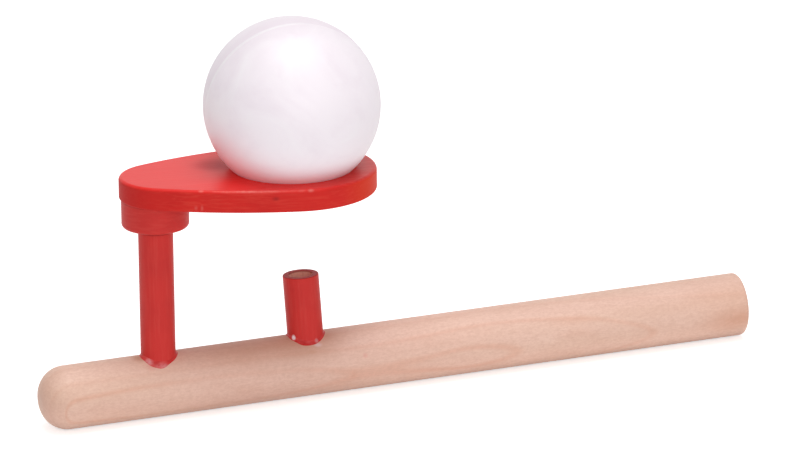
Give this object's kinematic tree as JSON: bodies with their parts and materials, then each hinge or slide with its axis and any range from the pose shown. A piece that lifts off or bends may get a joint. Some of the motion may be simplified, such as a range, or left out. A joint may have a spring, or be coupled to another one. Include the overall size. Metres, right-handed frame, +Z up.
{
  "type": "floating ball pipe toy",
  "caption": "Wooden blow pipe with a drilled nozzle and a red post carrying a teardrop plate, whose round hole holds a hollow white ball that a jet of air lifts and floats.",
  "frame": {"origin": "centre of the flat mouth end of the pipe, where the air bore opens", "axes": "+X out of the mouth along the pipe, +Z up, the way the post stands, +Y to the back"},
  "size_m": [0.1684, 0.04, 0.0899],
  "materials": {
    "pipe_wood": "fine sanded pale maple, satin, faint lengthwise grain",
    "red_paint": "thin red paint on wood, satin, worn pale at the edges",
    "red_lacquer": "glossy dried lacquer",
    "ball_shell": "thin white plastic, soft gloss, faint seam"
  },
  "bodies": {
    "toy": {"pipe": "pipe_wood", "post": "red_paint", "collar": "red_paint", "ball_plate": "red_paint", "nozzle": "red_paint", "post_bead": "red_lacquer", "nozzle_bead": "red_lacquer"},
    "ball": {"ball_front_shell": "ball_shell", "ball_back_shell": "ball_shell"}
  },
  "joints": [
    {"name": "ball_lift", "type": "slide", "parent": "toy", "child": "ball", "axis": [0, 0, 1], "range_m": [0, 0.12]}
  ]
}
